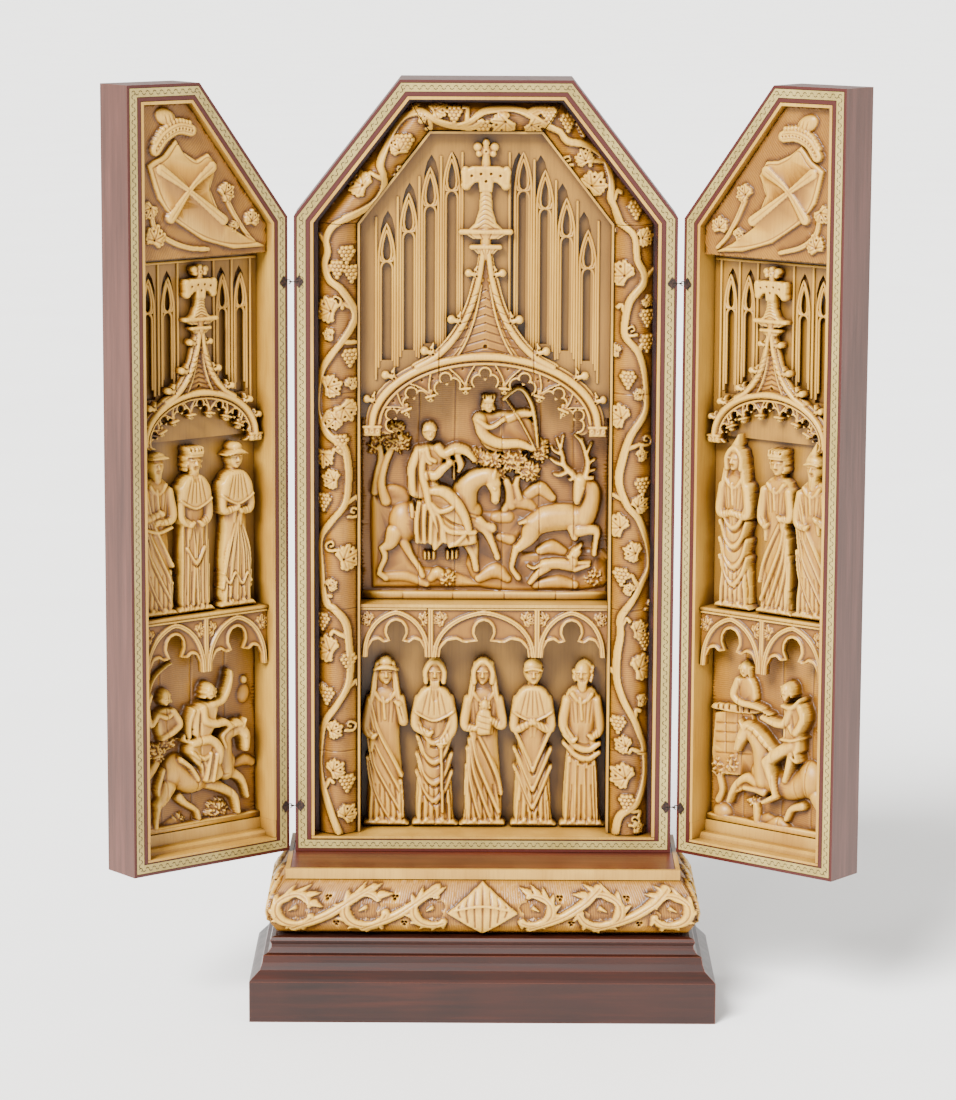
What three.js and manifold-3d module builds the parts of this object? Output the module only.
import * as THREE from "three";
import { mergeVertices } from "three/addons/utils/BufferGeometryUtils.js";
import Module from "manifold-3d";

// Triptych altarpiece: a carved bone and wood case with two hinged wings on a moulded foot.
// Millimetres. X runs across, Y from front to back, Z up, and the origin is under the foot's middle.

const wasm = await Module();
wasm.setup();

// Case
const caseWidth = 240;
const caseHeight = 492;
const caseDepth = 50;
const shoulderRun = 66;
const shoulderRise = 85;
const wallThickness = 10;
const sillThickness = 8;
const backThickness = 6;
const recessDepth = 15;
const seam = 0.3;

// Bands round the front edge of the case and of each wing
const edgingInset = 2;
const edgingWidth = 5.3;
const edgingThickness = 1.6;
const liningThickness = 1.9;
const floorThickness = 1.5;

// Niche behind the vine border
const nicheSide = 41;
const nicheShoulder = 36;
const nicheTop = 34;
const nicheLiningThickness = 1.4;
const nicheLiningFront = 11;
const borderGap = 2.4;
const borderBulge = 8;
const borderEdgeDepth = 12.5;

// Wings
const wingDepth = 29;
const wingBackThickness = 5;
const wingLift = 0.9;
const wingOpenAngle = 39;
const wingMeetingGap = 0.5;
const hingeGap = 3.7;
const faceGap = 1.5;
const shieldPanelBottom = 385;
const wingPanelDepth = 20;
const wingShelfTop = 161.5;
const wingArcadeBottom = 124;
const wingSpring = 270.5;
const wingFigureHeight = 108;

// Levels in the case, above its underside
const shelfTop = 158.3;
const shelfThickness = 2;
const shelfFront = 14;
const arcadeBottom = 124;
const archSpring = 272;
const ledgeHeight = 5;
const reliefDepth = 37;
const figureHeight = 114.5;
const figurePitch = 31.7;

// Foot
const plinthOverhang = 26.4;
const baseOverhang = 1.2;
const plinthDepth = 117;
const plinthBlockHeight = 27.5;
const plinthHeight = 52;
const baseHeight = 93.7;
const baseInset = 25.2;
const filletHeight = 6.4;
const filletThickness = 2.8;

// Wire eyes of the hinges
const eyeRadius = 1.3;
const wireRadius = 0.4;
const strapRadius = 0.3;
const strapDepth = 0.2;
const strapReach = hingeGap / 2 + 3.2;
const hingeHeights = [30, 366];

const bone = { color: 0xe3c894, roughness: 0.45, metalness: 0 };
const greyBone = { color: 0xc9b78f, roughness: 0.5, metalness: 0 };
const redWood = { color: 0x6b3a2c, roughness: 0.4, metalness: 0 };
const darkWood = { color: 0x3d1f18, roughness: 0.35, metalness: 0 };
const mahogany = { color: 0x7a3f1f, roughness: 0.35, metalness: 0 };
const iron = { color: 0x2b2725, roughness: 0.5, metalness: 0.8 };

// Joining and cutting closed bodies

function solid(geometry) {
  const bare = geometry.clone();
  bare.deleteAttribute("normal");
  bare.deleteAttribute("uv");
  const merged = mergeVertices(bare, 1e-4);
  const vertProperties = Float32Array.from(merged.attributes.position.array);
  const triVerts = Uint32Array.from(merged.index.array);
  return new wasm.Manifold(new wasm.Mesh({ numProp: 3, vertProperties, triVerts }));
}

function shaped(body) {
  const { vertProperties, triVerts } = body.getMesh();
  const geometry = new THREE.BufferGeometry();
  geometry.setAttribute("position", new THREE.BufferAttribute(vertProperties, 3));
  geometry.setIndex(new THREE.BufferAttribute(triVerts, 1));
  return geometry;
}

// Joins bodies into one and fills the pockets that they close in between them.
function join(pieces) {
  const whole = pieces.map(solid).reduce((all, next) => all.add(next));
  const filled = whole.decompose().filter((part) => part.volume() > 0);
  return shaped(filled.reduce((all, next) => all.add(next)));
}

function cut(piece, tools) {
  return shaped(tools.map(solid).reduce((rest, tool) => rest.subtract(tool), solid(piece)));
}

// Plain bodies

// A board in the plane of the front, from one depth to another; its corners are [x, height] pairs.
function board(corners, front, back, holes = []) {
  const outline = (points) => points.map(([x, z]) => new THREE.Vector2(x, z));
  const shape = new THREE.Shape(outline(corners));
  shape.holes = holes.map((hole) => new THREE.Path(outline(hole)));
  const geometry = new THREE.ExtrudeGeometry(shape, { depth: back - front, bevelEnabled: false });
  return geometry.rotateX(Math.PI / 2).translate(0, back, 0);
}

// A flat slab from one height to another; its corners are [x, depth] pairs.
function slab(corners, bottom, top) {
  const shape = new THREE.Shape(corners.map(([x, y]) => new THREE.Vector2(x, y)));
  return new THREE.ExtrudeGeometry(shape, { depth: top - bottom, bevelEnabled: false }).translate(0, 0, bottom);
}

function block(x0, x1, front, back, bottom, top) {
  const box = new THREE.BoxGeometry(x1 - x0, back - front, top - bottom);
  return box.translate((x0 + x1) / 2, (front + back) / 2, (bottom + top) / 2);
}

function lump(x, y, z, rx, ry, rz) {
  return new THREE.OctahedronGeometry(1).scale(rx, ry, rz).translate(x, y, z);
}

// A closed body through rings of equal point counts, with flat ends.
function loft(rings) {
  const count = rings[0].length;
  const faces = [];
  for (let r = 0; r + 1 < rings.length; r += 1) {
    for (let i = 0; i < count; i += 1) {
      const a = r * count + i;
      const b = r * count + ((i + 1) % count);
      faces.push(a, b, b + count, a, b + count, a + count);
    }
  }
  const last = (rings.length - 1) * count;
  for (let i = 1; i + 1 < count; i += 1) {
    faces.push(0, i + 1, i, last, last + i, last + i + 1);
  }
  const geometry = new THREE.BufferGeometry();
  geometry.setAttribute("position", new THREE.Float32BufferAttribute(rings.flat(2), 3));
  geometry.setIndex(faces);
  return outward(geometry);
}

function outward(geometry) {
  const place = geometry.attributes.position;
  const index = geometry.index;
  const [a, b, c] = [new THREE.Vector3(), new THREE.Vector3(), new THREE.Vector3()];
  let volume = 0;
  for (let i = 0; i < index.count; i += 3) {
    a.fromBufferAttribute(place, index.getX(i));
    b.fromBufferAttribute(place, index.getX(i + 1));
    c.fromBufferAttribute(place, index.getX(i + 2));
    volume += a.dot(b.cross(c));
  }
  if (volume < 0) {
    geometry.index.array.reverse();
  }
  return geometry;
}

// The same body seen in a mirror across the middle plane.
function mirrored(geometry) {
  const merged = shaped(solid(geometry));
  merged.scale(-1, 1, 1);
  return outward(merged);
}

// A ridged rod through [x, y, z] points with a radius at each; flat squeezes it in depth.
function rod(points, radii, sides = 3, flat = 1) {
  const path = points.map((point) => new THREE.Vector3(...point));
  const depthAxis = new THREE.Vector3(0, 1, 0);
  const rings = path.map((point, i) => {
    const ahead = path[Math.min(i + 1, path.length - 1)];
    const behind = path[Math.max(i - 1, 0)];
    const along = ahead.clone().sub(behind).normalize();
    const across = depthAxis.clone().cross(along).normalize();
    const raised = along.clone().cross(across);
    return Array.from({ length: sides }, (_, k) => {
      const angle = (k / sides) * 2 * Math.PI - Math.PI / 2;
      const side = across.clone().multiplyScalar(Math.cos(angle) * radii[i]);
      const lift = raised.clone().multiplyScalar(Math.sin(angle) * radii[i] * flat);
      return point.clone().add(side).add(lift).toArray();
    });
  });
  return loft(rings);
}

// A strip of even width along [x, height] points.
function ribbon(points, width, front, back) {
  const sides = points.map(([x, z], i) => {
    const [ax, az] = points[Math.max(i - 1, 0)];
    const [bx, bz] = points[Math.min(i + 1, points.length - 1)];
    const length = Math.hypot(bx - ax, bz - az);
    const [nx, nz] = [(-(bz - az) / length) * (width / 2), ((bx - ax) / length) * (width / 2)];
    return [[x + nx, z + nz], [x - nx, z - nz]];
  });
  const corners = sides.map(([left]) => left).concat(sides.map(([, right]) => right).reverse());
  return board(corners, front, back);
}

// A lobed vine leaf that stands up from a surface at depth y.
function leaf(x, y, z, radius, turn) {
  const lobes = 4;
  const rim = Array.from({ length: lobes * 2 }, (_, i) => {
    const reach = radius * (i % 2 ? 0.62 : 1);
    const angle = turn + (i / (lobes * 2)) * 2 * Math.PI;
    return [x + Math.cos(angle) * reach, z + Math.sin(angle) * reach];
  });
  return board(rim, y - radius * 0.28, y + 1);
}

function bunch(x, y, z, size) {
  return lump(x, y, z - size * 0.2, size * 0.9, size * 0.6, size * 1.3);
}

// Outlines of the case and the wings

const shoulderLength = Math.hypot(shoulderRun, shoulderRise);
const shoulderAcross = shoulderRise / shoulderLength;
const shoulderUp = shoulderRun / shoulderLength;
const shoulderHeight = caseHeight - shoulderRise;

// The case's front, moved inwards by its own amount at the sides, shoulders, top and bottom.
function caseCorners(side, shoulder, top, bottom) {
  const reach = (shoulderAcross * caseWidth) / 2 + shoulderUp * shoulderHeight - shoulder;
  const x = caseWidth / 2 - side;
  const z = caseHeight - top;
  const eaves = (reach - shoulderAcross * x) / shoulderUp;
  const ridge = (reach - shoulderUp * z) / shoulderAcross;
  return [[x, bottom], [x, eaves], [ridge, z], [-ridge, z], [-x, eaves], [-x, bottom]];
}

function evenCase(inset, bottom = inset) {
  return caseCorners(inset, inset, inset, bottom);
}

// A hoop that follows the sides, shoulders and top and stands on a floor.
function hoop(outer, inner, front, back) {
  return board(outer.concat([...inner].reverse()), front, back);
}

const wingWidth = caseWidth / 2 - wingMeetingGap;

function wingCorners(inset, bottom = inset) {
  const line = (z) => (inset + shoulderUp * (z - shoulderHeight)) / shoulderAcross;
  const top = caseHeight - inset;
  const eaves = shoulderHeight + (inset * shoulderAcross - inset) / shoulderUp;
  return [[wingWidth - inset, bottom], [wingWidth - inset, top], [line(top), top], [inset, eaves], [inset, bottom]];
}

// Arches, canopies and tracery

function ellipseArc(halfSpan, rise, spring, from, to, steps) {
  return Array.from({ length: steps + 1 }, (_, i) => {
    const angle = from + ((to - from) * i) / steps;
    return [halfSpan * Math.cos(angle), spring + rise * Math.sin(angle)];
  });
}

function pointedArc(centre, halfSpan, spring, rise, steps) {
  const half = (sign) => Array.from({ length: steps + 1 }, (_, i) => {
    const t = i / steps;
    return [centre + sign * halfSpan * (1 - t * t), spring + rise * Math.sin((t * Math.PI) / 2.3) / Math.sin(Math.PI / 2.3)];
  });
  return half(1).concat(half(-1).reverse().slice(1));
}

// Outer line of the gable: it follows the arch from its foot, then sweeps up to the peak.
function gableLine(halfSpan, rise, spring, peak, steps) {
  const turnAngle = 0.95;
  const start = new THREE.Vector2(halfSpan * Math.cos(turnAngle), spring + rise * Math.sin(turnAngle));
  const bend = new THREE.Vector2(halfSpan * 0.2, spring + rise * 1.32);
  const sweep = new THREE.QuadraticBezierCurve(start, bend, new THREE.Vector2(halfSpan * 0.05, peak));
  const foot = ellipseArc(halfSpan, rise, spring, 0, turnAngle, 3);
  return foot.concat(sweep.getPoints(steps).slice(1).map((point) => [point.x, point.y]));
}

// A gabled arch with a hanging fringe, crockets, capitals and a finial.
function canopy({ halfSpan, rise, spring, peak, front, back, finialTop, scale, capitals }) {
  const roll = 4.4 * scale;
  const outer = gableLine(halfSpan + roll, rise + roll, spring, peak, 4);
  const left = outer.map(([x, z]) => [-x, z]).reverse();
  const bays = 7;
  const fringe = [];
  for (let bay = 0; bay < bays; bay += 1) {
    const middle = ((bay + 0.5) / bays) * Math.PI;
    fringe.push([halfSpan * 0.95 * Math.cos(middle), spring + rise * 0.95 * Math.sin(middle)]);
    if (bay + 1 < bays) {
      const pendant = ((bay + 1) / bays) * Math.PI;
      fringe.push([halfSpan * 0.78 * Math.cos(pendant), spring + rise * 0.7 * Math.sin(pendant)]);
    }
  }
  const inner = [[halfSpan - roll, spring]].concat(fringe, [[-halfSpan + roll, spring]]);
  const sheet = board(outer.concat(left, [...inner].reverse()), front + 2 * scale, back);
  const arch = ribbon(ellipseArc(halfSpan, rise, spring, 0, Math.PI, 8), roll, front, front + 2.5 * scale);
  const crockets = [1, 4, 6].flatMap((corner) => [1, -1].map((sign) => {
    const [x, z] = outer[corner];
    const size = 6 * scale;
    return lump(sign * (x - size * 0.1), front + 3 * scale, z + size * 0.4, size, 3 * scale, size);
  }));
  const feet = capitals.map((sign) => block(sign * halfSpan - 6 * scale, sign * halfSpan + 6 * scale,
    front - 1.5 * scale, back, spring - 6 * scale, spring + 0.5));
  return join([sheet, arch, ...crockets, ...feet, finial(front + 1.5, peak, finialTop, scale)]);
}

function finial(depth, bottom, top, scale) {
  const height = top - bottom;
  const levels = [[-0.05, 3.5], [0, 9.5], [0.06, 5], [0.18, 17], [0.21, 9], [0.4, 4.5], [0.56, 10], [0.72, 8],
    [0.76, 4], [0.9, 6.5], [1, 2]];
  const rings = levels.map(([share, reach]) => {
    const [w, d] = [reach * scale, Math.min(reach * 0.34, 4) * scale];
    const z = bottom + share * height;
    return [[w, depth, z], [0, depth - d, z], [-w, depth, z], [0, depth + d, z]];
  });
  const horns = [-1, 1].map((sign) => lump(sign * 12.5 * scale, depth, bottom + 0.68 * height, 5 * scale,
    3 * scale, 5.5 * scale));
  return join([loft(rings), ...horns]);
}

// A lancet light: a tall opening with a pointed head.
function lancet(centre, apex, bottom, half) {
  const shoulder = apex - half * 2.6;
  return [[centre - half, bottom], [centre + half, bottom], [centre + half, shoulder],
    [centre + half * 0.6, apex - half], [centre, apex], [centre - half * 0.6, apex - half], [centre - half, shoulder]];
}

// Figures: reaches and levels are shares of the figure's own height

const hats = {
  brim: [[0.905, 0.05], [0.922, 0.088], [0.936, 0.05], [0.99, 0.028]],
  crown: [[0.925, 0.052], [0.998, 0.066]],
  cap: [[0.92, 0.052], [0.93, 0.06], [0.99, 0.024]],
  hood: [[0.92, 0.056], [0.985, 0.018]],
};

function figure({ height, sides = 8, sway = 0, hat, beard = 0, arms, cape = false, child = false, twist = 0.4 }) {
  const trunk = cape ? [[0.655, 0.086], [0.66, 0.108], [0.8, 0.064]] : [[0.58, 0.08], [0.75, 0.094], [0.8, 0.066]];
  const neck = hat === "hood" ? [[0.86, 0.056]] : [[0.83, 0.03], [0.86, 0.044]];
  const levels = [[0, 0.12], [0.04, 0.114], [0.3, 0.096], ...trunk, ...neck, ...hats[hat]];
  const rings = levels.map(([share, reach]) => {
    const isCloth = share > 0.036 && share < 0.7;
    const flute = isCloth ? 0.15 * (1 - share) : 0;
    const shift = sway * Math.sin(share * Math.PI);
    const depth = share > 0.81 ? 1 : 0.58;
    return Array.from({ length: sides }, (_, i) => {
      const angle = ((i + 0.5) / sides) * 2 * Math.PI + (isCloth ? twist * share : 0);
      const ripple = 1 + (i % 2 ? flute : -flute);
      const y = Math.min(reach * depth * ripple * Math.sin(angle), 0.06);
      return [(shift + reach * ripple * Math.cos(angle)) * height, y * height, share * height];
    });
  });
  const scaled = (point) => point.map((value) => value * height);
  const pieces = [loft(rings)];
  arms.forEach(([elbow, hand], i) => {
    const shoulder = [sway + (i ? 0.08 : -0.08), -0.01, 0.775];
    const bend = [elbow[0] * 0.84, elbow[1], elbow[2]];
    pieces.push(rod([shoulder, bend, hand].map(scaled), [0.034 * height, 0.034 * height, 0.02 * height]));
  });
  if (beard) {
    pieces.push(rod([[0, -0.03, 0.87], [0, -0.05, 0.865 - beard]].map(scaled), [0.036 * height, 0.014 * height]));
  }
  if (child) {
    pieces.push(lump(0.02 * height, -0.07 * height, 0.7 * height, 0.04 * height, 0.035 * height, 0.09 * height));
  }
  return join(pieces);
}

// Reliefs: a horse with its rider, measured in lengths of the horse's body

function place(origin, size, facing, depth) {
  return ([x, z, out = 0]) => [origin[0] + x * size * facing, depth - out * size, origin[1] + z * size];
}

function horse(origin, size, facing, depth, legs) {
  const at = place(origin, size, facing, depth);
  const part = (points, radii) => rod(points.map(at), radii.map((r) => r * size), 3, 0.9);
  return [
    rod([[-0.52, 0.02, 0.08], [-0.36, 0.04, 0.12], [0.3, 0.02, 0.12], [0.44, 0.06, 0.06]].map(at),
      [0.12, 0.23, 0.21, 0.12].map((r) => r * size), 5, 0.7),
    part([[0.3, 0.1, 0.14], [0.44, 0.32, 0.14], [0.5, 0.5, 0.13]], [0.2, 0.13, 0.1]),
    part([[0.44, 0.55, 0.13], [0.6, 0.4, 0.13], [0.7, 0.2, 0.12]], [0.08, 0.09, 0.05]),
    ...legs.map((points) => part(points, [0.13, 0.06, 0.05])),
    part([[-0.5, 0.05, 0.08], [-0.64, -0.42, 0.04]], [0.07, 0.04]),
  ];
}

function rider(origin, size, facing, depth, hand, robe) {
  const at = place(origin, size, facing, depth);
  const part = (points, radii) => rod(points.map(at), radii.map((r) => r * size), 3, 0.9);
  const knee = robe ? [0.2, -0.02, 0.33] : [0.28, 0.02, 0.33];
  return [
    part([[-0.04, 0.08, 0.14], [-0.04, 0.62, 0.14], [-0.03, 0.78, 0.14]], [0.22, 0.18, 0.07]),
    part([[0.02, 0.2, 0.3], knee, [0.24, -0.42, 0.3]], [0.13, 0.14, robe ? 0.15 : 0.06]),
    part([[-0.02, 0.66, 0.26], [0.14, 0.42, 0.32], hand], [0.09, 0.075, 0.05]),
    lump(...at([-0.02, 0.89, 0.17]), 0.14 * size, 0.12 * size, 0.2 * size),
  ];
}

function bush(x, y, z, size) {
  return lump(x, y, z, size, size * 0.5, size * 0.8);
}

// Hilly ground: one low raised edge with a crest at every hump.
function ground(x0, x1, y, bottom, height, humps) {
  const crests = Array.from({ length: humps * 2 + 1 }, (_, i) => (
    [x0 + ((x1 - x0) * i) / (humps * 2), bottom + height * (i % 2 ? 1 : 0.45)]));
  return board([[x1, bottom], [x0, bottom], ...crests], y - 2.4, y + 0.5);
}

const gallop = [
  [[-0.42, -0.06, 0.12], [-0.56, -0.4, 0.08], [-0.5, -0.78, 0.03]],
  [[-0.3, -0.1, 0.14], [-0.16, -0.42, 0.1], [0.02, -0.7, 0.03]],
  [[0.32, -0.08, 0.14], [0.62, -0.24, 0.1], [0.74, -0.56, 0.03]],
  [[0.36, -0.02, 0.1], [0.72, -0.08, 0.08], [0.9, -0.34, 0.03]],
];
const walk = [
  [[-0.42, -0.06, 0.12], [-0.54, -0.45, 0.08], [-0.48, -0.82, 0.03]],
  [[-0.26, -0.1, 0.14], [-0.15, -0.45, 0.1], [0, -0.76, 0.03]],
  [[0.34, -0.08, 0.14], [0.3, -0.42, 0.1], [0.4, -0.74, 0.03]],
  [[0.36, -0.1, 0.1], [0.58, -0.32, 0.08], [0.7, -0.56, 0.03]],
];

// Case

const nicheFloor = sillThickness + seam + floorThickness;
const ledgeInset = nicheSide - nicheLiningThickness - seam;
const shellNiche = caseCorners(ledgeInset, nicheShoulder - nicheLiningThickness - seam,
  nicheTop - nicheLiningThickness - seam, sillThickness);
const innerDepth = caseDepth - backThickness;
const nicheHalf = caseWidth / 2 - nicheSide;
const edgingInner = edgingInset + edgingWidth;
const liningOuter = wallThickness + seam;
const liningInner = liningOuter + liningThickness;

function caseShell() {
  const whole = board(evenCase(0), 0, caseDepth);
  return cut(whole, [
    board(evenCase(wallThickness, sillThickness), -1, recessDepth),
    board(shellNiche, recessDepth - 1, innerDepth),
    board(evenCase(edgingInset - seam), -1, edgingThickness + seam, [evenCase(edgingInner + seam)]),
  ]);
}

function caseFloor() {
  const outerHalf = caseWidth / 2 - wallThickness - seam;
  const innerHalf = caseWidth / 2 - ledgeInset - seam;
  const front = recessDepth - seam;
  const back = innerDepth - seam;
  const corners = [[-outerHalf, 0], [outerHalf, 0], [outerHalf, front], [innerHalf, front], [innerHalf, back],
    [-innerHalf, back], [-innerHalf, front], [-outerHalf, front]];
  return slab(corners, sillThickness + seam, nicheFloor);
}

function nicheLining() {
  const outside = nicheLiningThickness;
  const foot = nicheFloor + seam;
  return hoop(caseCorners(nicheSide - outside, nicheShoulder - outside, nicheTop - outside, foot),
    caseCorners(nicheSide, nicheShoulder, nicheTop, foot), nicheLiningFront, innerDepth - seam);
}

// One bowed border strip between mitred ends, with a waving vine, leaves and grapes.
function vineStrip(start, end, innerStart, innerEnd, waves, flip) {
  const across = (from, to, share) => [from[0] + (to[0] - from[0]) * share, from[1] + (to[1] - from[1]) * share];
  const length = Math.hypot(end[0] - start[0], end[1] - start[1]);
  const trim = (seam * 0.6) / length;
  const ends = [[across(start, end, trim), across(innerStart, innerEnd, trim)],
    [across(end, start, trim), across(innerEnd, innerStart, trim)]];
  const steps = 4;
  const rings = ends.map(([outer, inner]) => {
    const bow = Array.from({ length: steps + 1 }, (_, k) => {
      const [x, z] = across(outer, inner, k / steps);
      return [x, borderEdgeDepth - borderBulge * Math.sin((Math.PI * k) / steps), z];
    });
    return bow.concat([[inner[0], recessDepth - seam, inner[1]], [outer[0], recessDepth - seam, outer[1]]]);
  });
  const stripPoint = (u, v) => {
    const low = across(start, end, v);
    const high = across(innerStart, innerEnd, v);
    const [x, z] = across(low, high, u);
    return [x, borderEdgeDepth - borderBulge * Math.sin(Math.PI * u) - 0.6, z];
  };
  const count = Math.round(waves * 5);
  const stem = Array.from({ length: count + 1 }, (_, i) => {
    const v = 0.03 + (0.94 * i) / count;
    return stripPoint(0.5 + flip * 0.28 * Math.sin(v * waves * 2 * Math.PI), v);
  });
  const pieces = [loft(rings), rod(stem, stem.map((_, i) => 2.6 - (1.1 * i) / count))];
  const halves = Math.max(2, Math.round(waves * 1.6));
  for (let i = 0; i < halves; i += 1) {
    const v = (i + 0.55) / halves;
    const sign = flip * (i % 2 ? 1 : -1);
    const [x, y, z] = stripPoint(0.5 + 0.16 * sign, v);
    pieces.push(i % 2 ? bunch(x, y + 0.8, z, 6) : leaf(x, y + 1, z, 7.2, i));
  }
  return join(pieces);
}

function vineStrips() {
  const outer = evenCase(liningInner + borderGap, nicheFloor + seam);
  const inner = caseCorners(nicheSide - nicheLiningThickness - seam, nicheShoulder - nicheLiningThickness - seam,
    nicheTop - nicheLiningThickness - seam, nicheFloor + seam);
  const names = ["vine_right", "vine_upper_right", "vine_top", "vine_upper_left", "vine_left"];
  const waves = [2.2, 0.6, 0.5, 0.6, 2.2];
  return names.map((name, i) => [name,
    vineStrip(outer[i], outer[i + 1], inner[i], inner[i + 1], waves[i], i > 2 ? -1 : 1)]);
}

const archHalf = 71.5;
const archRise = 45;
const traceryFront = 20;
const traceryGround = 24;
const traceryBack = 30;

// Panel above the canopy: ten lancets under the slanting frame, open below for the arch.
function traceryPanel() {
  const gap = seam;
  const outline = caseCorners(nicheSide + gap, nicheShoulder + gap, nicheTop + gap, archSpring + 6);
  const opening = ellipseArc(archHalf - 1, archRise - 1, archSpring + 1, 0.12, Math.PI - 0.12, 8);
  const panel = outline.concat([...opening].reverse());
  const pitch = 13.7;
  const lights = [-4.5, -3.5, -2.5, -1.5, 1.5, 2.5, 3.5, 4.5].map((place) => {
    const centre = place * pitch;
    const edge = Math.abs(centre) + pitch * 0.42;
    const slope = nicheTopEdge(edge) - 7;
    const apex = Math.min(slope, caseHeight - nicheTop - 12);
    const bottom = archSpring + archRise * Math.sqrt(Math.max(0, 1 - (centre / (archHalf + 12)) ** 2)) + 12;
    return lancet(centre, apex, bottom, pitch * 0.33);
  });
  return cut(board(panel, traceryFront, traceryBack),
    lights.map((light) => board(light, traceryFront - 1, traceryGround)));
}

function nicheTopEdge(x) {
  const reach = (shoulderAcross * caseWidth) / 2 + shoulderUp * shoulderHeight - nicheShoulder;
  return (reach - shoulderAcross * x) / shoulderUp;
}

// Relief of the hunt: a robed rider, a stag, a hound, trees and a crowned archer.
function huntRelief() {
  const half = nicheHalf - seam;
  const bottom = shelfTop + seam;
  const back = innerDepth - seam;
  const y = reliefDepth;
  const foot = bottom + ledgeHeight;
  const stagAt = place([35, 206], 40, 1, y);
  const stag = (points, radii) => rod(points.map(stagAt), radii.map((r) => r * 40), 3, 0.9);
  const antler = (sign) => stag([[0.56, 0.66, 0.2], [0.56 + sign * 0.25, 1.05, 0.06], [0.56 + sign * 0.14, 1.5, 0.03]],
    [0.06, 0.05, 0.04]);
  return join([
    block(-half, half, y, back, bottom, archSpring + 50),
    block(-half, half, reliefDepth - 6, y + 1, bottom, foot),
    ground(-half + 2, half - 2, y, foot - 0.5, 9, 4),
    ...horse([-27, 211], 46, 1, y, walk),
    ...rider([-34, 226], 44, 1, y, [0.42, 0.55, 0.34], true),
    stag([[-0.5, 0.04, 0.1], [-0.2, 0.04, 0.14], [0.3, 0, 0.14], [0.5, 0.06, 0.1]], [0.14, 0.2, 0.2, 0.12]),
    stag([[0.42, 0.1, 0.18], [0.55, 0.4, 0.2], [0.56, 0.66, 0.2]], [0.2, 0.13, 0.1]),
    antler(1),
    antler(-1),
    ...[[[-0.42, 0, 0.14], [-0.56, -0.4, 0.1], [-0.52, -0.9, 0.06]], [[-0.3, 0, 0.1], [-0.26, -0.5, 0.08],
      [-0.2, -0.9, 0.05]], [[0.4, -0.05, 0.16], [0.74, -0.16, 0.14], [0.7, -0.5, 0.08]]].map((leg) => (
      stag(leg, [0.13, 0.055, 0.04]))),
    rod([[30, y - 2, 178], [46, y - 3, 183], [57, y - 3, 191]], [3, 4.5, 3.6]),
    rod([[54, y - 3, 190], [64, y - 3, 187]], [3.6, 1.8]),
    rod([[36, y - 2, 182], [28, y - 1, 170]], [2, 1.6]),
    rod([[18, y - 1, 206], [16, y - 2, 236]], [4, 3.2]),
    bush(20, y - 2, 244, 16),
    rod([[4, y - 1, 252], [4, y - 1, 274]], [8, 4]),
    lump(4, y - 2, 279, 5.5, 5, 9),
    rod([[8, y - 2, 268], [26, y - 2, 264], [32, y - 1, 256]], [3.4, 2.4, 2]),
    rod([[16, y, 292], [30, y - 1, 276], [33, y, 252]], [1.8, 2.6, 1.8]),
    rod([[-66, y, 214], [-62, y - 1, 258]], [3.5, 2.4]),
    bush(-58, y - 1, 264, 12),
    bush(66, y - 2, 176, 9),
  ]);
}

// Pierced arch opening with two cusps and a round lobe at the top.
function cuspedOpening(centre, half, bottom, cusp, lobe, lobeRadius) {
  const right = [[centre + half, bottom - 1], [centre + half * 0.86, bottom + (cusp - bottom) * 0.55],
    [centre + half * 0.62, cusp - 0.5], [centre + half * 0.3, cusp - 1.5]];
  const top = Array.from({ length: 5 }, (_, i) => {
    const angle = -0.5 + ((Math.PI + 1) * i) / 4;
    return [centre + lobeRadius * Math.cos(angle), lobe + lobeRadius * 1.15 * Math.sin(angle)];
  });
  const left = right.map(([x, z]) => [2 * centre - x, z]).reverse();
  return right.concat(top, left);
}

// Arcade of pierced arches; each bay is [centre, half width].
function arcade(x0, x1, bottom, top, front, thickness, bays) {
  const sheet = block(x0, x1, front + 1.2, front + thickness, bottom, top);
  const rise = top - bottom;
  const openings = bays.map(([centre, half]) => board(
    cuspedOpening(centre, half * 0.84, bottom, bottom + rise * 0.34, bottom + rise * 0.5, rise * 0.19), front - 1,
    front + thickness + 1));
  const arches = bays.map(([centre, half]) => ribbon(
    pointedArc(centre, half * 0.92, bottom, rise * 0.9, 3), 2.6, front, front + thickness - 0.5));
  const posts = bays.slice(1).map(([centre, half]) => block(centre - half - 1.6, centre - half + 1.6, front,
    front + thickness - 0.4, bottom, top));
  const rail = block(x0, x1, front, front + thickness - 0.6, top - 1.8, top);
  return cut(join([sheet, ...posts, rail, ...arches.map((arch) => trimmed(arch, x0, x1, bottom, top))]), openings);
}

function trimmed(piece, x0, x1, bottom, top) {
  const frame = block(x0, x1, -50, 50, bottom, top);
  return shaped(solid(piece).intersect(solid(frame)));
}

// Wings

const wingInner = wingDepth - wingBackThickness;
const wingLeft = liningInner + seam;
const wingRight = wingWidth - liningInner - seam;

function wingShell() {
  return cut(board(wingCorners(0, wingLift), 0, wingDepth), [
    board(wingCorners(wallThickness, wingLift + sillThickness), -1, wingInner),
    board(wingCorners(edgingInset - seam, wingLift + edgingInset - seam), -1, edgingThickness + seam,
      [wingCorners(edgingInner + seam, wingLift + edgingInner + seam)]),
  ]);
}

function wingSill() {
  const floor = wingLift + sillThickness + seam;
  const section = [[0, floor], [0, floor + floorThickness], [8.5, floor + floorThickness], [9, 12.6], [10.5, 14.2],
    [14.5, 14.6], [15, 21.7], [wingInner - seam, 21.7], [wingInner - seam, floor]];
  const reach = [wallThickness + seam, wingWidth - wallThickness - seam];
  return board(section, -reach[1], -reach[0]).rotateZ(Math.PI / 2);
}

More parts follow.
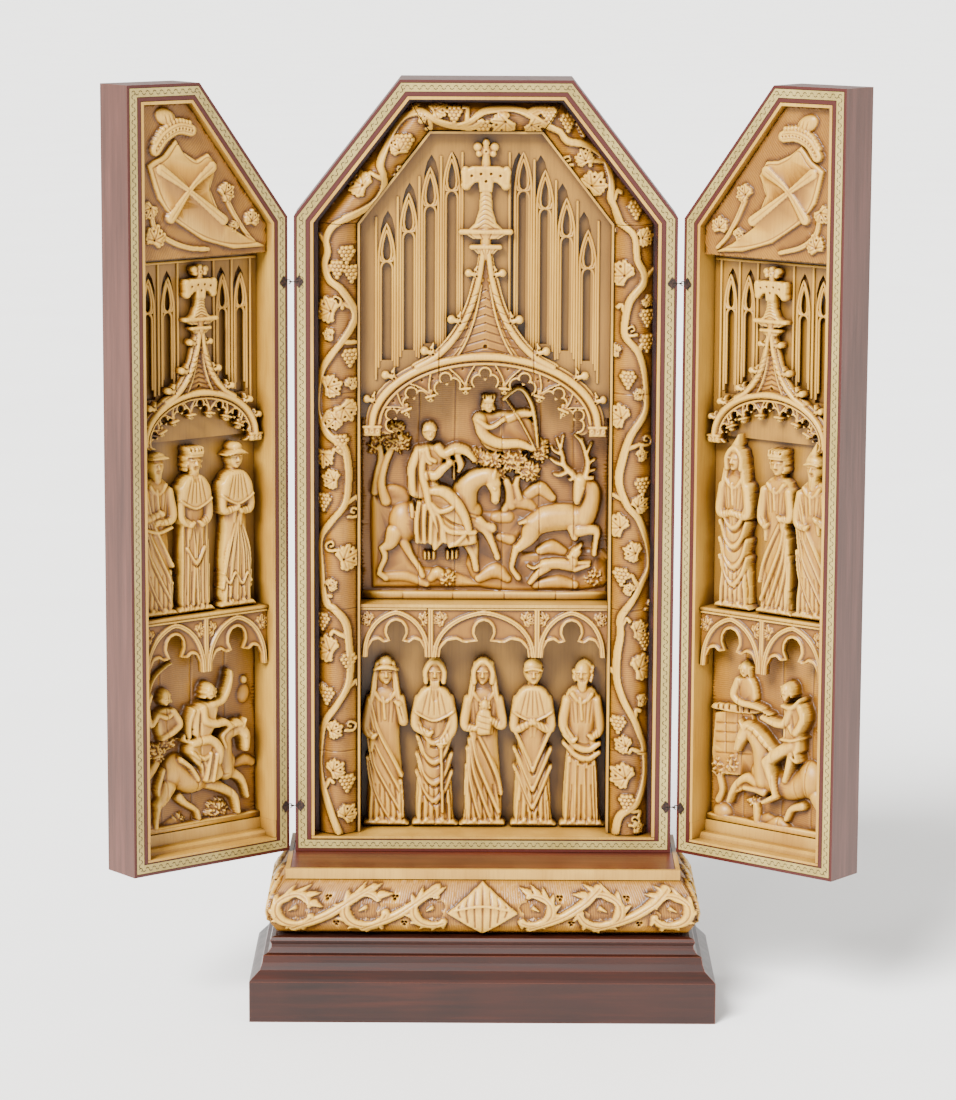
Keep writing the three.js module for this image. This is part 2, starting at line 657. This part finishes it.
// Panel behind the figures, with a row of lancets across its top.
function wingTracery() {
  const bottom = wingShelfTop + seam;
  const top = shieldPanelBottom - seam;
  const pitch = 13.6;
  const middle = (wingLeft + wingRight) / 2;
  const corners = [[wingLeft, bottom], [wingRight, bottom], [wingRight, top], [wingLeft, top]];
  const outer = [[wingLeft, wingSpring], [wingRight, wingSpring], [wingRight, top], [wingLeft, top]];
  const lights = [-2.5, -1.5, 1.5, 2.5].map((place) => lancet(middle + place * pitch, top - 8,
    wingSpring + 44 - Math.abs(place) * 7, pitch * 0.33));
  const grille = cut(board(outer, wingPanelDepth - 3.5, wingPanelDepth + 0.5),
    lights.map((light) => board(light, wingPanelDepth - 5, wingPanelDepth)));
  return join([board(corners, wingPanelDepth, wingInner - seam), grille]);
}

function wingArcade() {
  const x0 = wingLeft;
  const x1 = wingRight;
  const quarter = (x1 - x0) / 4;
  const wall = arcade(x0, x1, wingArcadeBottom, wingShelfTop - 2, 5, 4.5,
    [[x0 + quarter, quarter], [x0 + 3 * quarter, quarter]]);
  return join([wall, block(x0, x1, 4, wingInner - seam, wingShelfTop - 2.2, wingShelfTop)]);
}

// Shield panel in the gable of a wing: crown, tilted shield with a plain cross, and vine leaves.
function shieldPanel(reach) {
  const inset = liningInner + seam;
  const corners = wingCorners(inset, shieldPanelBottom);
  const front = 5.2;
  const raised = 2.2;
  const outline = [[103, 443], [91, 449], [82, 458.6], [76, 450], [66.6, 444.5], [57.6, 448.4], [50.9, 441.4],
    [56.3, 426.3], [46.2, 405.4], [14, 389], [38, 388.5], [61.8, 395.2], [84.4, 409.3], [95, 422.1]];
  const cross = [ribbon([[93.6, 440], [74.2, 427.1], [47, 407]], 3.4, front - raised - 1.2, front),
    ribbon([[55.5, 440], [71, 428], [86, 410]], 3.4, front - raised - 1.2, front)];
  const crown = [ribbon([[97, 452], [90, 460], [80, 464.5], [70.5, 463]], 8, front - 3.6, front + 0.2),
    lump(90.5, front, 472.5, 8.5, 3.4, 6)];
  const leaves = [[100.5, 417, 6.3], [98, 397, 8], [45.5, 423, 6.5], [25, 405, 6]].map(([s, z, size], i) => (
    leaf(s, front, z, size, i + reach)));
  const stems = [[[100, 414], [86, 398], [58, 389.5]], [[44, 420], [36, 404], [22, 391]]].map((line) => (
    ribbon(line, 2.2, front - 2, front + 0.3)));
  return join([board(corners, front, front + 4), board(outline, front - raised, front + 0.2), ...cross, ...crown,
    ...leaves, ...stems]);
}

// Riders of the two wing reliefs; s is measured from the hinge side.
function wingRelief(left) {
  const bottom = 22;
  const y = wingPanelDepth;
  const plate = block(wingLeft, wingRight, y, wingInner - seam, bottom, wingShelfTop - 2.5);
  const common = [plate, ground(wingLeft + 2, wingRight - 2, y, bottom + 0.5, 9, 3)];
  if (left) {
    return join([...common,
      ...horse([63, 61], 46, -1, y, gallop),
      ...rider([58, 72], 44, -1, y, [0.5, 0.3, 0.3], true),
      rod([[58, y - 4, 98], [47, y - 4, 108], [40, y - 3, 124]], [3.6, 3, 2.4]),
      rod([[87, y - 1, 74], [87, y - 1, 104]], [8, 4]),
      lump(86, y - 2, 109, 5.4, 5, 7.5),
      rod([[97, y, 80], [99, y, 108], [88, y, 133]], [2, 2, 1.8]),
      bush(95, y - 2, 76, 10),
      bush(28, y - 1, 112, 9),
    ]);
  }
  return join([...common,
    ...horse([66, 60], 46, -1, y, gallop),
    ...rider([71, 72], 44, -1, y, [0.95, 0.62, 0.26], false),
    block(17, 36, y - 3, y + 0.5, 56, 98),
    ...[19, 30].map((s) => block(s, s + 4, y - 4, y + 0.4, 95, 102)),
    rod([[33, y - 1, 96], [37, y - 1, 120]], [7, 4]),
    lump(37, y - 2, 125, 5, 5, 7),
    rod([[38, y - 3, 112], [34, y - 5, 104], [48, y - 4, 99]], [2.8, 2.6, 2]),
    bush(99, y - 2, 88, 7),
  ]);
}

const wingFigures = {
  left_wing: [
    { s: 33, hat: "brim", arms: [[[-0.11, -0.03, 0.62], [0.02, -0.08, 0.66]], [[0.11, -0.03, 0.62], [0, -0.085, 0.6]]],
      cape: true, sway: 0.006, twist: 0.9 },
    { s: 65, hat: "crown", beard: 0.07, cape: true, twist: 0.2,
      arms: [[[-0.1, -0.02, 0.62], [-0.05, -0.08, 0.55]], [[0.11, -0.02, 0.63], [0.04, -0.08, 0.62]]] },
    { s: 93, hat: "cap", beard: 0.06, sway: -0.008, twist: -0.7,
      arms: [[[-0.11, -0.03, 0.6], [0.03, -0.085, 0.6]], [[0.11, -0.03, 0.6], [-0.03, -0.09, 0.63]]] },
  ],
  right_wing: [
    { s: 34, hat: "hood", sway: -0.008, twist: 0.8,
      arms: [[[-0.11, -0.03, 0.62], [0.01, -0.085, 0.64]], [[0.11, -0.03, 0.62], [0.02, -0.085, 0.58]]] },
    { s: 66, hat: "crown", sway: 0.006, twist: -0.5,
      arms: [[[-0.115, -0.02, 0.6], [-0.06, -0.08, 0.5]], [[0.115, -0.02, 0.64], [0.05, -0.08, 0.7]]] },
    { s: 93, hat: "cap", beard: 0.09, sway: 0.006, twist: 0.6, cape: true,
      arms: [[[-0.11, -0.03, 0.62], [0.02, -0.085, 0.6]], [[0.11, -0.03, 0.62], [0.03, -0.085, 0.66]]] },
  ],
};

const caseFigures = [
  { hat: "brim", sway: 0.008, twist: 0.8,
    arms: [[[-0.11, -0.02, 0.6], [-0.1, -0.05, 0.46]], [[0.11, -0.03, 0.64], [0.085, -0.08, 0.76]]] },
  { hat: "hood", beard: 0.12, cape: true, twist: 0.2,
    arms: [[[-0.11, -0.03, 0.6], [-0.02, -0.085, 0.6]], [[0.11, -0.03, 0.6], [0.03, -0.085, 0.55]]] },
  { hat: "hood", child: true, twist: -0.6,
    arms: [[[-0.11, -0.03, 0.62], [0, -0.08, 0.6]], [[0.11, -0.03, 0.62], [0.05, -0.08, 0.64]]] },
  { hat: "cap", cape: true, twist: 0.4,
    arms: [[[-0.11, -0.03, 0.6], [-0.01, -0.085, 0.62]], [[0.11, -0.03, 0.6], [0.01, -0.09, 0.62]]] },
  { hat: "cap", beard: 0.06, sway: -0.008, twist: -0.8,
    arms: [[[-0.11, -0.03, 0.62], [-0.09, -0.07, 0.72]], [[0.11, -0.02, 0.6], [0.05, -0.08, 0.62]]] },
];

// Hinges: a lying wire eye on the case, and a standing hook on the wing that runs through it

// A flat lozenge on the front edge, joined to the eye by a short strap; x points from the hinge line.
function eyeLozenge(x, height) {
  const plateBack = faceGap / 2 - seam;
  return board([[x - 3, height], [x, height + 4], [x + 3, height], [x, height - 4]], plateBack - 0.3, plateBack);
}

function caseEye(height) {
  const ring = new THREE.TorusGeometry(eyeRadius, wireRadius, 3, 6).translate(0, 0, height);
  const strap = rod([[-eyeRadius - 0.1, strapDepth, height], [-strapReach, strapDepth, height]],
    [strapRadius, strapRadius]);
  return join([ring, strap, eyeLozenge(-strapReach, height)]);
}

// An open hook: its free side lets the strap of the case's eye through when the wing is shut.
function wingEye(height) {
  const bend = [95, 135, 180, 225, 285].map((angle) => {
    const turn = THREE.MathUtils.degToRad(angle);
    return [eyeRadius * (1 + Math.cos(turn)), 0, height + eyeRadius * Math.sin(turn)];
  });
  const strap = [[strapReach, strapDepth, height + eyeRadius], [2 * eyeRadius, strapDepth, height + eyeRadius]];
  const hook = rod(strap.concat(bend), [strapRadius, strapRadius].concat(bend.map(() => wireRadius)));
  return join([hook, eyeLozenge(strapReach, height)]);
}

// Foot

const plinthMould = [[0, 0], [plinthBlockHeight - 1.5, 0], [plinthBlockHeight, 1.4], [32, 6.4], [36.5, 8],
  [41, 8.6], [42, 11.2], [45, 13.4], [47, 13.6], [49.5, 12.6], [51.3, 13.4], [plinthHeight, 16]];

function plinth() {
  const half = caseWidth / 2 + plinthOverhang;
  return loft(plinthMould.map(([z, inset]) => [
    [-half + inset, -plinthDepth / 2 + inset, z], [half - inset, -plinthDepth / 2 + inset, z],
    [half - inset, plinthDepth / 2, z], [-half + inset, plinthDepth / 2, z]]));
}

const baseHalf = caseWidth / 2 + baseOverhang;
const baseFront = -plinthDepth / 2 + baseInset;
const cushionBottom = plinthHeight + seam;
const cushionTop = baseHeight - filletHeight - seam;
const cushionProfile = [[0, 3.5], [0.07, 8], [0.22, 11.4], [0.42, 12.6], [0.62, 11.4], [0.82, 7.6], [1, 3]];

function cushionOutset(share) {
  const next = cushionProfile.findIndex(([level]) => level >= share);
  const [lowLevel, lowOut] = cushionProfile[Math.max(next - 1, 0)];
  const [highLevel, highOut] = cushionProfile[next];
  const mix = highLevel > lowLevel ? (share - lowLevel) / (highLevel - lowLevel) : 0;
  return lowOut + (highOut - lowOut) * mix;
}

// One carved leaf scroll on the front of the cushion, as a curl round a centre.
function cushionScroll(centre, turn, sign) {
  const steps = 6;
  const line = Array.from({ length: steps }, (_, i) => {
    const angle = turn + (i / (steps - 1)) * 4.2;
    const reach = 13.5 - i * 0.5;
    const x = centre + sign * Math.cos(angle) * reach * 1.25;
    const share = Math.min(Math.max(0.5 + (Math.sin(angle) * reach) / (cushionTop - cushionBottom), 0.08), 0.92);
    return [x, baseFront - seam - cushionOutset(share) + 0.6, cushionBottom + share * (cushionTop - cushionBottom)];
  });
  return rod(line, line.map((_, i) => 3.2 - i * 0.15), 3, 0.8);
}

function cushionFront() {
  const tall = cushionTop - cushionBottom;
  const inner = baseFront - seam;
  const rings = [-1, 1].map((sign) => {
    const face = cushionProfile.map(([share, out]) => [
      sign * (baseHalf + seam * 0.5 + out), inner - out, cushionBottom + share * tall]);
    const reach = sign * (baseHalf + seam * 0.5);
    return face.concat([[reach, inner, cushionTop], [reach, inner, cushionBottom]]);
  });
  const scrolls = [42, 96].flatMap((centre, i) => [1, -1].map((sign) => (
    cushionScroll(sign * centre, i % 2 ? 0.6 : 3.6, sign))));
  const heart = new THREE.OctahedronGeometry(1).scale(17, 3.4, 15.5);
  heart.translate(0, inner - 11.4, (cushionBottom + cushionTop) / 2);
  return join([loft(rings), ...scrolls, heart]);
}

function cushionSide() {
  const tall = cushionTop - cushionBottom;
  const inner = baseHalf + seam;
  const front = cushionProfile.map(([share, out]) => [inner + out, baseFront - out, cushionBottom + share * tall]);
  const back = cushionProfile.map(([share, out]) => [inner + out, plinthDepth / 2, cushionBottom + share * tall]);
  const close = (y) => [[inner, y, cushionTop], [inner, y, cushionBottom]];
  return loft([front.concat(close(baseFront)), back.concat(close(plinthDepth / 2))]);
}

function cushionFillet() {
  const inner = baseHalf + seam;
  const outer = inner + filletThickness;
  const front = baseFront - seam;
  const back = plinthDepth / 2;
  const corners = [[-outer, front - filletThickness], [outer, front - filletThickness], [outer, back], [inner, back],
    [inner, front], [-inner, front], [-inner, back], [-outer, back]];
  return slab(corners, baseHeight - filletHeight, baseHeight);
}

// Assembly

const model = new THREE.Group();
model.name = "triptych_altarpiece";

function add(parent, name, geometry, look, x = 0, y = 0, z = 0) {
  const mesh = new THREE.Mesh(geometry, new THREE.MeshStandardMaterial(look));
  mesh.name = name;
  mesh.position.set(x, y, z);
  parent.add(mesh);
}

const frontPlane = plinthDepth / 2 - caseDepth;
const casing = new THREE.Group();
casing.position.set(0, frontPlane, baseHeight + seam);
model.add(casing);

add(model, "plinth", plinth(), darkWood);
add(model, "base_body", block(-baseHalf, baseHalf, baseFront, plinthDepth / 2, plinthHeight + seam, baseHeight),
  mahogany);
add(model, "cushion_front", cushionFront(), bone);
add(model, "cushion_right", cushionSide(), bone);
add(model, "cushion_left", mirrored(cushionSide()), bone);
add(model, "cushion_fillet", cushionFillet(), bone);

add(casing, "case_shell", caseShell(), redWood);
add(casing, "case_edging", board(evenCase(edgingInset), 0, edgingThickness, [evenCase(edgingInner)]), greyBone);
add(casing, "case_lining", hoop(evenCase(liningOuter, nicheFloor + seam), evenCase(liningInner, nicheFloor + seam), 0,
  recessDepth - seam), bone);
add(casing, "case_floor", caseFloor(), bone);
add(casing, "niche_lining", nicheLining(), bone);
vineStrips().forEach(([name, strip]) => add(casing, name, strip, bone));
add(casing, "tracery_panel", traceryPanel(), bone);
add(casing, "centre_canopy", canopy({ halfSpan: archHalf, rise: archRise, spring: archSpring, peak: 384.5,
  front: 13.5, back: traceryFront - seam, finialTop: 455, scale: 1, capitals: [-1, 1] }), bone);
add(casing, "hunt_relief", huntRelief(), bone);
add(casing, "relief_shelf", block(-nicheHalf + seam, nicheHalf - seam, shelfFront, innerDepth - seam,
  shelfTop - shelfThickness, shelfTop), bone);
add(casing, "arcade", arcade(-nicheHalf + seam, nicheHalf - seam, arcadeBottom, shelfTop - shelfThickness - seam,
  shelfFront + 0.5, 4.5, [[-56, 22], [0, 34], [56, 22]]), bone);
add(casing, "figure_back_panel", block(-nicheHalf + seam, nicheHalf - seam, innerDepth - 3, innerDepth - seam,
  nicheFloor + seam, shelfTop - shelfThickness - seam), bone);
caseFigures.forEach((style, i) => {
  add(casing, `figure_${i + 1}`, figure({ ...style, height: figureHeight }), bone, (i - 2) * figurePitch, 31,
    nicheFloor + seam);
});

["left_wing", "right_wing"].forEach((name) => {
  const left = name === "left_wing";
  const sign = left ? -1 : 1;
  const hinge = new THREE.Group();
  hinge.position.set(sign * (caseWidth / 2 + hingeGap / 2), frontPlane - faceGap / 2, baseHeight + seam);
  hinge.rotation.z = -sign * THREE.MathUtils.degToRad(wingOpenAngle);
  model.add(hinge);
  const side = (geometry) => (left ? mirrored(geometry) : geometry);
  const place = (part, geometry, look) => {
    add(hinge, `${name}_${part}`, side(geometry), look, sign * (hingeGap / 2), faceGap / 2, 0);
  };
  place("shell", wingShell(), redWood);
  place("edging", board(wingCorners(edgingInset, wingLift + edgingInset), 0, edgingThickness,
    [wingCorners(edgingInner, wingLift + edgingInner)]), greyBone);
  const sillLevel = 21.7 + seam;
  place("lining", cut(board(wingCorners(liningOuter, sillLevel), 0, wingInner - seam),
    [board(wingCorners(liningInner, sillLevel - 5), -1, wingDepth)]), bone);
  place("sill", wingSill(), bone);
  place("shield_panel", shieldPanel(left ? 0 : 0.6), bone);
  place("tracery_panel", wingTracery(), bone);
  const middle = (wingLeft + wingRight) / 2;
  place("canopy", canopy({ halfSpan: 41.8, rise: 29, spring: wingSpring, peak: 339, front: 6, back: 16.2,
    finialTop: 380, scale: 0.78, capitals: [-1] }).translate(middle, 0, 0), bone);
  place("arcade", wingArcade(), bone);
  place("rider_relief", wingRelief(left), bone);
  wingFigures[name].forEach(({ s, ...style }, i) => {
    const body = figure({ ...style, height: wingFigureHeight, sides: 6 });
    add(hinge, `${name}_figure_${i + 1}`, body, bone, sign * (hingeGap / 2 + s), faceGap / 2 + 12.5,
      wingShelfTop + seam);
  });
  ["lower", "upper"].forEach((level, i) => {
    const axis = [sign * (caseWidth / 2 + hingeGap / 2), frontPlane - faceGap / 2, baseHeight + seam];
    add(model, `case_hinge_eye_${level}_${left ? "left" : "right"}`, side(caseEye(hingeHeights[i])), iron, ...axis);
    add(hinge, `${name}_hinge_eye_${level}`, side(wingEye(hingeHeights[i])), iron);
  });
});

export default model;
